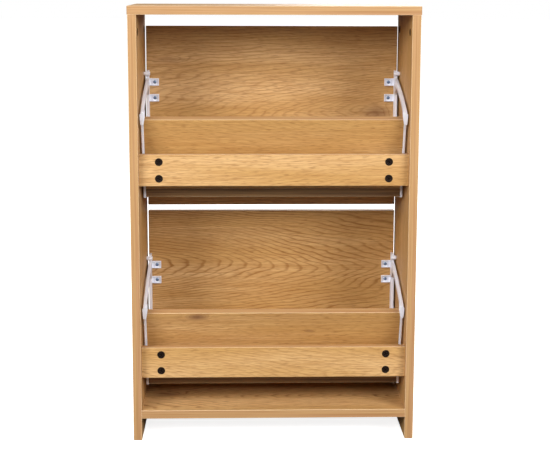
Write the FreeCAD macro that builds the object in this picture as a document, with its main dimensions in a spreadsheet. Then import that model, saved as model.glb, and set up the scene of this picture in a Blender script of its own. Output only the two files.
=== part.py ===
"""Shoe cabinet with two tilting bins, in millimetres.

Frame: +Z up, door fronts face -Y, open back faces +Y, origin on the floor under the middle.
Left and right are as seen by someone who stands in front of the doors.
Pieces of a bin are drawn about its pivot axis and then placed at the height of their tier.
"""
import FreeCAD, Part
import math
import os
import Sketcher
from FreeCAD import Rotation, Vector

doc = FreeCAD.newDocument("shoe_cabinet")

# ---------------------------------------------------------------- driving dimensions
SIZES = {
    "width": 600,              # over the top panel
    "depth": 240,
    "height": 920,
    "board": 18,               # thickness of every panel
    "edge_round": 0.8,         # broken edge of the edge banding
    "top_lip": 1,              # the top panel stands out past each side panel
    "base_level": 48,          # floor to the underside of the bottom board
    "base_setback": 22,        # front edge of the bottom board behind the doors' inner faces
    "finger_gap": 30,          # upper door to the top panel
    "door_split": 14,          # between the two doors
    "door_floor_gap": 58,      # floor to the lower door
    "door_drop": 33,           # door's lower edge below its pivot
    "door_gap": 3,             # between door and side panel
    "rail_height": 66,
    "rail_rise": 43,           # pivot to the rail's lower edge
    "rail_setback": 15,        # rail behind the back edges of the side panels
    "cam_diameter": 15,
    "cam_depth": 13,           # past the bolt's channel, which runs at the middle of the board
    "cam_inset": 41.5,         # side panel to cam centre, along the board
    "cam_pitch": 35,           # between the two cams of one rail end
    "cam_rim": 0.75,           # the cam's rim stands past its body
    "cam_rim_height": 0.6,
    "cam_slot_length": 9,      # cross for the screwdriver
    "cam_slot_width": 1.8,
    "cam_slot_depth": 2,
    "top_cam_drop": 36,        # top panel's underside to cam centre
    "corner_inset": 35,        # cams of top and bottom panels, from front and back edges
    "bolt_diameter": 7,
    "bolt_short": 1,           # the bolt ends short of the cam's centre
    "thread_diameter": 6,
    "thread_reach": 11,        # bolt thread in the board that it screws into
    "dowel_diameter": 8,
    "dowel_reach": 11,         # dowel in the face of a board
    "dowel_tail": 19,          # dowel in the end of a board
    "slack": 0.1,              # round every fastener in its bore
    "bracket_gap": 4.5,        # side panel to the bracket's outer face
    "plate": 5,                # thickness of the bracket's side plate
    "strip_width": 11,         # across the bracket's upright strip
    "strip_depth": 28,
    "arm_width": 8.5,
    "arm_depth": 8,
    "arm_bow": 780,            # radius of the arm's outer edge
    "arm_start": 35,           # door's inner face to the start of the arm
    "arm_level": 252,          # start of the arm above the pivot
    "hook_level": 198,         # top of the hook above the pivot
    "hook_length": 28,
    "hook_depth": 8,
    "hook_step": 2.5,          # the hook stands out past the plate
    "hook_proud": 9,           # hook stands out behind the back board
    "horn_level": 270,         # top of the horn above the pivot
    "horn_depth": 24.25,       # horn from the door's inner face to the stop peg's side
    "window_peak": 217,        # top corner of the bracket's window above the pivot
    "leg_width": 21,           # bracket's plate along the back board
    "lobe_radius": 12,         # plate round the pivot
    "lean": 17,                # degrees, back board leaning to the back
    "wall_top": 180,           # back board's rear corner above the pivot
    "bin_reach": 192,          # door's inner face to the back board's rear corner
    "shelf_level": 10,         # pivot to the shelf's underside
    "tab_length": 26,          # tabs from the plate's outer face along the door
    "tab_height": 16,
    "tab_thickness": 5,
    "tab_rim": 1.6,
    "tab_floor": 2,            # thickness under the tab's recess
    "tab_level": 243.6,        # upper tab's screw above the pivot
    "tab_pitch": 35,
    "tab_screw_inset": 9,      # screw from the tab's inner end
    "pin_diameter": 8,
    "pin_slack": 0.05,         # round the pin in the bracket
    "pin_proud": 2,            # pin past the plate
    "stud_flange": 14,
    "stud_gap": 0.5,           # stud's flange to the plate
    "stud_reach": 10,          # studs and pegs in the side panel
    "peg_diameter": 9,
    "peg_level": 264,          # stop peg above the pivot
    "peg_gap": 0.5,            # strip's rear face to the peg when the bin is shut
    "peg_length": 13,
    "screw_diameter": 4,
    "screw_head": 7.4,
    "screw_head_height": 2,
    "screw_slot_length": 4,
    "screw_slot_width": 0.9,
    "screw_slot_depth": 1.1,
    "door_screw_reach": 13,
    "board_screw_reach": 30,
    "wall_screw_low": 40,      # screws in the back board's ends, from its foot
    "wall_screw_high": 130,
    "shelf_screw_front": 25,   # screws in the shelf's ends, from the door
    "shelf_screw_rear": 95,
}

size = doc.addObject("Spreadsheet::Sheet", "size")
for row, (alias, value) in enumerate(SIZES.items(), start=1):
    size.set(f"A{row}", alias)
    size.set(f"B{row}", str(value))
    size.setAlias(f"B{row}", alias)
doc.recompute()

# ---------------------------------------------------------------- places worked out from the sizes
INNER = "(size.width / 2 - size.top_lip - size.board)"          # inner face of a side panel
FRONT = "(-size.depth / 2)"
BACK = "(size.depth / 2)"
FRONT_GAPS = "(size.finger_gap + size.door_split + size.door_floor_gap)"
DOOR_HEIGHT = f"((size.height - size.board - {FRONT_GAPS}) / 2)"  # two equal doors
LOWER_PIVOT = "(size.door_floor_gap + size.door_drop)"
TIERS = {"lower": LOWER_PIVOT, "upper": f"({LOWER_PIVOT} + {DOOR_HEIGHT} + size.door_split)"}
DOOR_Y = "(-size.lobe_radius)"                                   # door's inner face, from the pivot
PIVOT_Y = f"({FRONT} + size.board + size.lobe_radius)"
PLATE_X = f"({INNER} - size.bracket_gap)"                        # outer face of a bracket
BIN_X = f"({PLATE_X} - size.plate)"                              # ends of the bin's boards
SHELF_TOP = "(size.shelf_level + size.board)"
LEAN = "(size.lean * 1 deg)"
WALL_Y = f"({DOOR_Y} + size.bin_reach)"                          # back board's rear top corner
RAIL_Y = f"({BACK} - size.rail_setback - size.board / 2)"        # middle of a rail's thickness
PEG_Y = f"({DOOR_Y} + size.horn_depth + size.peg_gap + size.peg_diameter / 2)"


def number(text):
    """Value of an expression over the sheet."""
    result = size.evalExpression(text)
    return float(getattr(result, "Value", result))


def place(obj, x="0", y="0", z="0", turn=None):
    """Bind an object's position to expressions and set its rotation."""
    if turn is not None:
        obj.Placement = FreeCAD.Placement(Vector(), turn)
    for axis, text in (("x", x), ("y", y), ("z", z)):
        obj.setExpression(f"Placement.Base.{axis}", text)
    return obj


def axes(x_direction, z_direction):
    """Rotation that takes local X and Z to two directions at right angles."""
    return Rotation(x_direction, z_direction.cross(x_direction), z_direction, "ZXY")


RIGHT = Vector(1, 0, 0)
REAR = Vector(0, 1, 0)
UP = Vector(0, 0, 1)
ALONG_X = axes(REAR, RIGHT)
ALONG_Y = axes(RIGHT, REAR)
ALONG_X_BACK = axes(REAR, -RIGHT)
DOWN_FACING = axes(RIGHT, -UP)


# ---------------------------------------------------------------- simple solids
def rod(name, radius, length, x="0", y="0", z="0", turn=None):
    cylinder = doc.addObject("Part::Cylinder", name)
    cylinder.setExpression("Radius", radius)
    cylinder.setExpression("Height", length)
    return place(cylinder, x, y, z, turn)


def brick(name, length, width, height, x="0", y="0", z="0"):
    box = doc.addObject("Part::Box", name)
    box.setExpression("Length", length)
    box.setExpression("Width", width)
    box.setExpression("Height", height)
    return place(box, x, y, z)


def joined(name, shapes):
    fuse = doc.addObject("Part::MultiFuse", name)
    fuse.Shapes = shapes
    return fuse


def cut(name, base, tools):
    """The base with every tool taken out of it."""
    result = doc.addObject("Part::Cut", name)
    result.Base = base
    result.Tool = tools[0] if len(tools) == 1 else joined(name + "_bores", tools)
    return result


def group(name, members):
    """Identical fasteners: separate solids in one node."""
    result = doc.addObject("Part::Compound", name)
    result.Links = members
    return result


# ---------------------------------------------------------------- sketches and bodies
def plane(body, role):
    """One of a body's own origin planes."""
    return next(item for item in body.Origin.OriginFeatures if item.Role == role)


def bind_last(sketch, text):
    """Bind the sketch's newest constraint to an expression."""
    sketch.setExpression(f"Constraints[{sketch.ConstraintCount - 1}]", text)


def draw_loop(sketch, corners):
    """Closed outline: each corner is two expressions, and a third is the radius of the arc after it."""
    points = [Vector(number(corner[0]), number(corner[1]), 0) for corner in corners]
    first = sketch.GeometryCount
    for index, corner in enumerate(corners):
        start = points[index]
        end = points[(index + 1) % len(points)]
        if len(corner) == 2:
            sketch.addGeometry(Part.LineSegment(start, end), False)
            continue
        radius = number(corner[2])
        chord = end - start
        sagitta = abs(radius) - math.sqrt(radius ** 2 - (chord.Length / 2) ** 2)
        outward = Vector(-chord.y, chord.x, 0).normalize() * math.copysign(sagitta, radius)
        sketch.addGeometry(Part.Arc(start, start + chord / 2 + outward, end), False)
    for index, corner in enumerate(corners):
        side = first + index
        following = first + (index + 1) % len(corners)
        start = 1 if len(corner) == 2 or corner_is_first(sketch, side, points[index]) else 2
        end = 3 - start
        other = 1 if corner_is_first(sketch, following, points[(index + 1) % len(corners)]) else 2
        sketch.addConstraint(Sketcher.Constraint("Coincident", side, end, following, other))
        for kind, text in (("DistanceX", corner[0]), ("DistanceY", corner[1])):
            sketch.addConstraint(Sketcher.Constraint(kind, -1, 1, side, start, number(text)))
            bind_last(sketch, text)
        if len(corner) == 3:
            sketch.addConstraint(Sketcher.Constraint("Radius", side, abs(number(corner[2]))))
            bind_last(sketch, f"abs({corner[2]})")


def corner_is_first(sketch, side, point):
    return (sketch.getPoint(side, 1) - point).Length < (sketch.getPoint(side, 2) - point).Length


def draw_circle(sketch, x, y, radius):
    centre = Vector(number(x), number(y), 0)
    index = sketch.addGeometry(Part.Circle(centre, Vector(0, 0, 1), number(radius)), False)
    for kind, text in (("DistanceX", x), ("DistanceY", y)):
        sketch.addConstraint(Sketcher.Constraint(kind, -1, 1, index, 3, number(text)))
        bind_last(sketch, text)
    sketch.addConstraint(Sketcher.Constraint("Radius", index, number(radius)))
    bind_last(sketch, radius)


def sketch_on(body, name, role, loops, circles=()):
    sketch = body.newObject("Sketcher::SketchObject", name)
    sketch.AttachmentSupport = [(plane(body, role), "")]
    sketch.MapMode = "FlatFace"
    for corners in loops:
        draw_loop(sketch, corners)
    for circle in circles:
        draw_circle(sketch, *circle)
    return sketch


def pad(body, name, sketch, length, backwards=False):
    feature = body.newObject("PartDesign::Pad", name)
    feature.Profile = sketch
    feature.setExpression("Length", length)
    feature.Reversed = backwards
    return feature


def pocket(body, name, sketch, length):
    """Pocket that is checked to have taken material away."""
    doc.recompute()
    before = body.Tip.Shape.Volume
    feature = body.newObject("PartDesign::Pocket", name)
    feature.Profile = sketch
    feature.setExpression("Length", length)
    doc.recompute()
    if feature.Shape.Volume > before - 1:
        raise RuntimeError(f"{name} cuts nothing")
    return feature


def board(name, length, width, thickness, x="0", y="0", z="0", turn=None):
    """Rectangular panel with its edges broken: length along X, width along Y, thickness along Z."""
    body = doc.addObject("PartDesign::Body", name + "_blank")
    corners = [("0", "0"), (length, "0"), (length, width), ("0", width)]
    face = sketch_on(body, name + "_face", "XY_Plane", [corners])
    slab = pad(body, name + "_slab", face, thickness)
    doc.recompute()
    edges = body.newObject("PartDesign::Fillet", name + "_edges")
    edges.Base = (slab, [f"Edge{index + 1}" for index in range(len(slab.Shape.Edges))])
    edges.setExpression("Radius", "size.edge_round")
    return place(body, x, y, z, turn)


# ---------------------------------------------------------------- fasteners
def cam_bore(name, x, y, z, turn):
    """Blind bore for a cam lock, sunk from the face that local Z leaves."""
    return rod(name, "size.cam_diameter / 2 + size.slack", "size.cam_depth + size.slack", x, y, z, turn)


def cross_slots(name, length, width, depth, top):
    """Two slots at right angles, sunk from a head's top to a depth below local Z = 0."""
    slots = []
    for letter, x_side, y_side in (("a", length, width), ("b", width, length)):
        slots.append(brick(f"{name}_slot_{letter}", x_side, y_side, f"{depth} + {top}",
                           f"-{x_side} / 2", f"-{y_side} / 2", f"-{depth}"))
    return slots


def cam_lock(name, x, y, z, facing, bolt_side):
    """Round cam flush in a board, open on the side where its bolt's head comes in."""
    depth = "-size.cam_depth"
    body = rod(name + "_body", "size.cam_diameter / 2", "size.cam_depth", z=depth)
    rim = rod(name + "_rim", "size.cam_diameter / 2 + size.cam_rim", "size.cam_rim_height")
    mouth = rod(name + "_mouth", "size.bolt_diameter / 2 + size.slack", "size.cam_diameter",
                z="-size.board / 2", turn=ALONG_X)
    slots = cross_slots(name, "size.cam_slot_length", "size.cam_slot_width", "size.cam_slot_depth",
                        "size.cam_rim_height")
    lock = cut(name, joined(name + "_blank", [body, rim]), [mouth] + slots)
    return place(lock, x, y, z, axes(bolt_side, facing))


def cam_bolt(name, x, y, z, turn):
    """Bolt from the board it screws into (origin, local -Z) to the cam (local +Z)."""
    shank = rod(name + "_shank", "size.bolt_diameter / 2", "size.cam_inset - size.bolt_short")
    thread = rod(name + "_thread", "size.thread_diameter / 2", "size.thread_reach",
                 z="-size.thread_reach")
    return place(joined(name, [shank, thread]), x, y, z, turn)


def bolt_channel(name, length, x, y, z, turn):
    return rod(name, "size.bolt_diameter / 2 + size.slack", length, x, y, z, turn)


def thread_bore(name, x, y, z, turn):
    return rod(name, "size.thread_diameter / 2 + size.slack", "size.thread_reach + size.slack", x, y, z, turn)


def dowel(name, x, y, z, turn):
    """Wooden dowel across a joint: short way along local Z, long way against it."""
    return rod(name, "size.dowel_diameter / 2", "size.dowel_reach + size.dowel_tail - 2 * size.slack",
               x, y, z, turn)


def screw(name, reach, x, y, z, turn):
    """Pan-head cross screw: the head's underside is at the origin and the shank runs along -Z."""
    head = rod(name + "_head", "size.screw_head / 2", "size.screw_head_height")
    shank = rod(name + "_shank", "size.screw_diameter / 2", reach, z=f"-{reach}")
    slots = cross_slots(name, "size.screw_slot_length", "size.screw_slot_width",
                        "(size.screw_slot_depth - size.screw_head_height)", "size.screw_head_height")
    return place(cut(name, joined(name + "_blank", [head, shank]), slots), x, y, z, turn)


def screw_bore(name, reach, x, y, z, turn):
    """Bore from the origin along local Z for a screw's shank."""
    return rod(name, "size.screw_diameter / 2 + size.slack", f"{reach} + size.slack", x, y, z, turn)


# ---------------------------------------------------------------- carcass
SIDES = {"left": -1, "right": 1}
ENDS = {"left": (-RIGHT, ALONG_X_BACK), "right": (RIGHT, ALONG_X)}
FRONT_AND_BACK = {
    "front": f"({FRONT} + size.corner_inset)",
    "back": f"({BACK} - size.corner_inset)",
}
BASE_FRONT = f"({FRONT} + size.board + size.base_setback)"
BASE_SPOTS = {
    "front": f"({BASE_FRONT} + size.corner_inset)",
    "back": f"({BACK} - size.corner_inset)",
}
TOP_UNDERSIDE = "(size.height - size.board)"
TOP_CAM_Z = f"({TOP_UNDERSIDE} - size.top_cam_drop)"
TOP_JOINT_X = f"({INNER} + size.board / 2)"
BASE_MIDDLE_Z = "(size.base_level + size.board / 2)"
BASE_DOWEL_Y = f"(({BASE_FRONT} + {BACK}) / 2)"


def rail_cam_z(tier, sign):
    return f"({TIERS[tier]} + size.rail_rise + size.rail_height / 2 + ({sign}) * size.cam_pitch / 2)"


def mirrored(sign, text):
    return f"({sign}) * {text}"


nodes = []


def node(obj, label):
    """Mark a finished sub-part; its label names its file."""
    obj.Label = label
    nodes.append(obj)
    return obj


def side_panel(side):
    """Upright panel that runs to the floor, bored for rails, bottom board, top, studs and pegs."""
    sign = SIDES[side]
    outward = ENDS[side][1]
    inner_x = mirrored(sign, INNER)
    name = f"side_{side}"
    length = TOP_UNDERSIDE
    corner_x = inner_x if sign > 0 else f"-({INNER} + size.board)"
    blank = board(name, "size.board", "size.depth", length, corner_x, FRONT, "0")
    bores = []
    for tier in TIERS:
        for sign_z in (-1, 1):
            bores.append(thread_bore(f"{name}_{tier}_rail_{sign_z + 1}", inner_x, RAIL_Y,
                                     rail_cam_z(tier, sign_z), outward))
        bores.append(rod(f"{name}_{tier}_stud_bore", "size.pin_diameter / 2 + size.slack",
                         "size.stud_reach + size.slack", inner_x, PIVOT_Y, TIERS[tier], outward))
        bores.append(rod(f"{name}_{tier}_peg_bore", "size.peg_diameter / 4 + size.slack",
                         "size.stud_reach + size.slack", inner_x, f"{PIVOT_Y} + {PEG_Y}",
                         f"{TIERS[tier]} + size.peg_level", outward))
    for spot, y in FRONT_AND_BACK.items():
        bores.append(cam_bore(f"{name}_top_cam_{spot}", inner_x, y, TOP_CAM_Z, outward))
        bores.append(bolt_channel(f"{name}_top_channel_{spot}", "size.top_cam_drop",
                                  mirrored(sign, TOP_JOINT_X), y, TOP_CAM_Z, None))
    for spot, y in BASE_SPOTS.items():
        bores.append(thread_bore(f"{name}_base_{spot}", inner_x, y, BASE_MIDDLE_Z, outward))
    bores.append(rod(f"{name}_base_dowel", "size.dowel_diameter / 2 + size.slack", "size.dowel_reach",
                     inner_x, BASE_DOWEL_Y, BASE_MIDDLE_Z, outward))
    bores.append(rod(f"{name}_top_dowel", "size.dowel_diameter / 2 + size.slack", "size.dowel_tail",
                     mirrored(sign, TOP_JOINT_X), "0", f"{TOP_UNDERSIDE} - size.dowel_tail"))
    return node(cut(name, blank, bores), f"side_panel_{side}")


def top_panel():
    """Top that lies on both side panels, bored from below for bolts and dowels."""
    blank = board("top", "size.width", "size.depth", "size.board", "-size.width / 2", FRONT, TOP_UNDERSIDE)
    bores = []
    for side, sign in SIDES.items():
        x = mirrored(sign, TOP_JOINT_X)
        for spot, y in FRONT_AND_BACK.items():
            bores.append(thread_bore(f"top_{side}_{spot}", x, y, TOP_UNDERSIDE, None))
        bores.append(rod(f"top_{side}_dowel", "size.dowel_diameter / 2 + size.slack", "size.dowel_reach",
                         x, "0", TOP_UNDERSIDE))
    return node(cut("top", blank, bores), "top_panel")


def bottom_board():
    """Floor board between the side panels, set back behind the lower door."""
    blank = board("base", f"2 * {INNER}", f"{BACK} - {BASE_FRONT}", "size.board",
                  f"-{INNER}", BASE_FRONT, "size.base_level")
    bores = []
    for side, (_, outward) in ENDS.items():
        sign = SIDES[side]
        cam_x = mirrored(sign, f"({INNER} - size.cam_inset)")
        for spot, y in BASE_SPOTS.items():
            bores.append(cam_bore(f"base_cam_{side}_{spot}", cam_x, y, "size.base_level", None))
            bores.append(bolt_channel(f"base_channel_{side}_{spot}", "size.cam_inset",
                                      cam_x, y, BASE_MIDDLE_Z, outward))
        bores.append(rod(f"base_dowel_bore_{side}", "size.dowel_diameter / 2 + size.slack", "size.dowel_tail",
                         mirrored(sign, f"({INNER} - size.dowel_tail)"), BASE_DOWEL_Y, BASE_MIDDLE_Z, outward))
    return node(cut("base", blank, bores), "bottom_board")


def rail(tier):
    """Cross rail near the back, on edge, with two cams at each end in its rear face."""
    name = f"rail_{tier}"
    level = f"{TIERS[tier]} + size.rail_rise"
    rear = f"({RAIL_Y} + size.board / 2)"
    blank = board(name, f"2 * {INNER}", "size.rail_height", "size.board", f"-{INNER}", rear, level,
                  axes(RIGHT, -REAR))
    bores = []
    locks = []
    bolts = []
    for side, (toward, outward) in ENDS.items():
        sign = SIDES[side]
        cam_x = mirrored(sign, f"({INNER} - size.cam_inset)")
        for sign_z in (-1, 1):
            z = rail_cam_z(tier, sign_z)
            tag = f"{name}_{side}_{sign_z + 1}"
            bores.append(cam_bore(tag + "_bore", cam_x, rear, z, axes(RIGHT, -REAR)))
            bores.append(bolt_channel(tag + "_channel", "size.cam_inset", cam_x, RAIL_Y, z, outward))
            locks.append(cam_lock(tag + "_cam", cam_x, rear, z, REAR, toward))
            bolts.append(cam_bolt(tag + "_bolt", mirrored(sign, INNER), RAIL_Y, z,
                                  axes(REAR, -toward)))
    node(cut(name, blank, bores), name)
    node(group(name + "_locks", locks), name + "_cam_locks")
    node(group(name + "_bolts", bolts), name + "_cam_bolts")


def panel_fasteners():
    """Cams, bolts and dowels that hold the top panel and the bottom board."""
    parts = {"top_cam_locks": [], "top_cam_bolts": [], "bottom_cam_locks": [], "bottom_cam_bolts": [],
             "top_dowels": [], "bottom_dowels": []}
    for side, (toward, outward) in ENDS.items():
        sign = SIDES[side]
        joint_x = mirrored(sign, TOP_JOINT_X)
        for spot, y in FRONT_AND_BACK.items():
            parts["top_cam_locks"].append(
                cam_lock(f"top_lock_{side}_{spot}", mirrored(sign, INNER), y, TOP_CAM_Z, -toward, UP))
            parts["top_cam_bolts"].append(
                place(joined(f"top_bolt_{side}_{spot}", [
                    rod(f"top_bolt_shank_{side}_{spot}", "size.bolt_diameter / 2",
                        "size.top_cam_drop - size.bolt_short"),
                    rod(f"top_bolt_thread_{side}_{spot}", "size.thread_diameter / 2", "size.thread_reach",
                        z="-size.thread_reach")]), joint_x, y, TOP_UNDERSIDE, DOWN_FACING))
        for spot, y in BASE_SPOTS.items():
            cam_x = mirrored(sign, f"({INNER} - size.cam_inset)")
            parts["bottom_cam_locks"].append(
                cam_lock(f"base_lock_{side}_{spot}", cam_x, y, "size.base_level", -UP, toward))
            parts["bottom_cam_bolts"].append(
                cam_bolt(f"base_bolt_{side}_{spot}", mirrored(sign, INNER), y, BASE_MIDDLE_Z,
                         axes(REAR, -toward)))
        parts["top_dowels"].append(
            dowel(f"top_dowel_{side}", joint_x, "0", f"{TOP_UNDERSIDE} - size.dowel_tail + size.slack", None))
        parts["bottom_dowels"].append(
            dowel(f"base_dowel_{side}", mirrored(sign, f"({INNER} - size.dowel_tail + size.slack)"),
                  BASE_DOWEL_Y, BASE_MIDDLE_Z, outward))
    for label, members in parts.items():
        node(group(label + "_group", members), label)


def studs_and_pegs(tier):
    """Pivot studs and stop pegs, pressed into the side panels."""
    studs = []
    pegs = []
    for side, (_, outward) in ENDS.items():
        toward_x = mirrored(SIDES[side], INNER)
        tag = f"{tier}_{side}"
        inward = axes(REAR, Vector(-SIDES[side], 0, 0))
        flange = "(size.bracket_gap - size.stud_gap)"
        pin = "(size.bracket_gap + size.plate + size.pin_proud)"
        studs.append(place(joined(f"stud_{tag}", [
            rod(f"stud_tail_{tag}", "size.pin_diameter / 2", "size.stud_reach", z="-size.stud_reach"),
            rod(f"stud_flange_{tag}", "size.stud_flange / 2", flange),
            rod(f"stud_pin_{tag}", "size.pin_diameter / 2", pin)]), toward_x, PIVOT_Y, TIERS[tier], inward))
        pegs.append(place(joined(f"peg_{tag}", [
            rod(f"peg_tail_{tag}", "size.peg_diameter / 4", "size.stud_reach", z="-size.stud_reach"),
            rod(f"peg_head_{tag}", "size.peg_diameter / 2", "size.peg_length")]),
            toward_x, f"{PIVOT_Y} + {PEG_Y}", f"{TIERS[tier]} + size.peg_level", inward))
    node(group(f"{tier}_studs", studs), f"{tier}_pivot_studs")
    node(group(f"{tier}_pegs", pegs), f"{tier}_stop_pegs")


# ---------------------------------------------------------------- bins
HOOK_REAR = f"({WALL_Y} + size.hook_proud)"
HOOK_FRONT = f"({HOOK_REAR} - size.hook_depth)"
STRIP_REAR = f"({DOOR_Y} + size.strip_depth)"
HORN_REAR = f"({DOOR_Y} + size.horn_depth)"
ARM_START_Y = f"({DOOR_Y} + size.arm_start)"
WALL_FOOT_Y = f"({WALL_Y} - (size.wall_top - {SHELF_TOP}) * tan({LEAN}))"
ARM_END_Y = f"({HOOK_REAR} - 4)"
SCREW_SPOTS_ON_WALL = {"low": "size.wall_screw_low", "high": "size.wall_screw_high"}
SCREW_SPOTS_ON_SHELF = {"front": "size.shelf_screw_front", "rear": "size.shelf_screw_rear"}


def leg_rear(z):
    """Rear edge of the plate where it runs along the back board."""
    return f"({WALL_Y} - (size.wall_top - {z}) * tan({LEAN}))"


def wall_middle(distance):
    """Point on the middle of the back board's thickness, that far above its foot."""
    y = f"({WALL_FOOT_Y} - size.board / 2 * cos({LEAN}) + {distance} * sin({LEAN}))"
    z = f"({SHELF_TOP} + size.board / 2 * sin({LEAN}) + {distance} * cos({LEAN}))"
    return y, z


def shelf_middle(distance):
    return f"({DOOR_Y} + {distance})", "(size.shelf_level + size.board / 2)"


def bin_screw_spots():
    """Where each bracket is screwed to the ends of the back board and the shelf."""
    spots = {f"wall_{name}": wall_middle(text) for name, text in SCREW_SPOTS_ON_WALL.items()}
    spots.update({f"shelf_{name}": shelf_middle(text) for name, text in SCREW_SPOTS_ON_SHELF.items()})
    return spots


def tab_screws():
    """Level of each of the two door screws of a bracket."""
    return {"upper_tab": "size.tab_level", "lower_tab": "(size.tab_level - size.tab_pitch)"}


def tilting_bracket(tier):
    """Right bracket: plate with a window, upright strip, bowed arm with its hook, and two tabs."""
    body = doc.addObject("PartDesign::Body", f"bracket_{tier}")
    inner_arm = "(size.arm_level - size.arm_depth)"
    plate_outline = [
        ("-size.lobe_radius", "0"),
        (DOOR_Y, "size.horn_level"),
        (HORN_REAR, "size.horn_level"),
        (HORN_REAR, "(size.arm_level + 2)"),
        (ARM_START_Y, "size.arm_level", "size.arm_bow"),
        (ARM_END_Y, "size.hook_level"),
        (HOOK_REAR, "(size.hook_level - 3)"),
        (HOOK_REAR, "(size.hook_level - size.hook_length)"),
        (leg_rear("(size.hook_level - size.hook_length)"), "(size.hook_level - size.hook_length)"),
        (leg_rear(SHELF_TOP), SHELF_TOP),
        (leg_rear(SHELF_TOP), "size.shelf_level - 2"),
        ("0", "-size.lobe_radius", "size.lobe_radius"),
    ]
    window_foot = f"({SHELF_TOP} + 4)"
    window = [
        (STRIP_REAR, window_foot),
        (STRIP_REAR, "size.window_peak"),
        (f"({ARM_START_Y} + 20)", f"({inner_arm} - 8)", "size.arm_bow"),
        (f"({leg_rear('size.wall_top')} - size.leg_width)", "(size.hook_level - 8)"),
        (f"({leg_rear(window_foot)} - size.leg_width)", window_foot),
    ]
    holes = [("0", "0", "size.pin_diameter / 2 + size.pin_slack")]
    holes += [(y, z, "size.screw_diameter / 2 + size.slack") for y, z in bin_screw_spots().values()]
    side = sketch_on(body, f"plate_face_{tier}", "YZ_Plane", [plate_outline, window], holes)
    pad(body, f"plate_pad_{tier}", side, "size.plate", True)
    strip_outline = [
        (DOOR_Y, window_foot),
        (DOOR_Y, "size.horn_level"),
        (HORN_REAR, "size.horn_level"),
        (HORN_REAR, "(size.arm_level + 2)"),
        (STRIP_REAR, "(size.arm_level - 4)"),
        (STRIP_REAR, window_foot),
    ]
    strip = sketch_on(body, f"strip_face_{tier}", "YZ_Plane", [strip_outline])
    pad(body, f"strip_pad_{tier}", strip, "size.strip_width", True)
    arm_outline = [
        (HORN_REAR, "(size.arm_level + 2)"),
        (ARM_START_Y, "size.arm_level", "size.arm_bow"),
        (ARM_END_Y, "size.hook_level"),
        (HOOK_REAR, "(size.hook_level - 3)"),
        (HOOK_REAR, "(size.hook_level - size.hook_length)"),
        (HOOK_FRONT, "(size.hook_level - size.hook_length)"),
        (HOOK_FRONT, "(size.hook_level - 10)", "-size.arm_bow"),
        (f"({ARM_START_Y} + 20)", f"({inner_arm} - 8)"),
        (STRIP_REAR, "size.window_peak"),
        (HORN_REAR, "size.window_peak"),
    ]
    arm = sketch_on(body, f"arm_face_{tier}", "YZ_Plane", [arm_outline])
    pad(body, f"arm_pad_{tier}", arm, "size.arm_width", True)
    hook_outline = [
        (HOOK_FRONT, "(size.hook_level - size.hook_length)"),
        (HOOK_FRONT, "(size.hook_level - 6)"),
        (HOOK_REAR, "(size.hook_level - 6)"),
        (HOOK_REAR, "(size.hook_level - size.hook_length)"),
    ]
    hook = sketch_on(body, f"hook_face_{tier}", "YZ_Plane", [hook_outline])
    pad(body, f"hook_pad_{tier}", hook, "size.hook_step")
    tab_rear = f"({DOOR_Y} + size.tab_thickness)"
    tabs = []
    recesses = []
    tab_holes = []
    for level in tab_screws().values():
        bottom = f"({level} - size.tab_height / 2)"
        top = f"({level} + size.tab_height / 2)"
        tabs.append([(DOOR_Y, bottom), (tab_rear, bottom), (tab_rear, top), (DOOR_Y, top)])
        inside = "(-size.tab_length + size.tab_rim)"
        outside = "(-size.strip_width - size.tab_rim)"
        low = f"({bottom} + size.tab_rim)"
        high = f"({top} - size.tab_rim)"
        recesses.append([(inside, low), (outside, low), (outside, high), (inside, high)])
        tab_holes.append(("(-size.tab_length + size.tab_screw_inset)", level,
                          "size.screw_diameter / 2 + size.slack"))
    tab_face = sketch_on(body, f"tab_face_{tier}", "YZ_Plane", tabs)
    pad(body, f"tab_pad_{tier}", tab_face, "size.tab_length", True)
    recess_face = sketch_on(body, f"recess_face_{tier}", "XZ_Plane", recesses)
    recess_face.setExpression("AttachmentOffset.Base.z", f"-({DOOR_Y} + size.tab_floor)")
    pocket(body, f"recess_{tier}", recess_face, "size.tab_thickness")
    hole_face = sketch_on(body, f"tab_hole_face_{tier}", "XZ_Plane", [], tab_holes)
    hole_face.setExpression("AttachmentOffset.Base.z", f"-({DOOR_Y} - 1)")
    pocket(body, f"tab_hole_{tier}", hole_face, "size.tab_thickness + 2")
    return place(body, PLATE_X, PIVOT_Y, TIERS[tier])


def mirror_piece(name, source):
    """The same piece for the other side of the cabinet."""
    result = doc.addObject("Part::Mirroring", name)
    result.Source = source
    result.Normal = RIGHT
    result.Base = Vector()
    return result


def tab_screw_x(sign):
    return mirrored(sign, f"({PLATE_X} - size.tab_length + size.tab_screw_inset)")


def door(tier):
    """Front panel between the side panels, drilled at the back for the brackets' tabs."""
    name = f"door_{tier}"
    half = f"({INNER} - size.door_gap)"
    inner_face = f"{PIVOT_Y} + {DOOR_Y}"
    blank = board(name, f"2 * {half}", DOOR_HEIGHT, "size.board", f"-{half}", inner_face,
                  f"{TIERS[tier]} - size.door_drop", axes(RIGHT, -REAR))
    bores = []
    for side, sign in SIDES.items():
        for spot, level in tab_screws().items():
            bores.append(screw_bore(f"{name}_{side}_{spot}", "size.door_screw_reach", tab_screw_x(sign),
                                    inner_face, f"{TIERS[tier]} + {level}", axes(RIGHT, -REAR)))
    return node(cut(name, blank, bores), f"{tier}_door")


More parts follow.
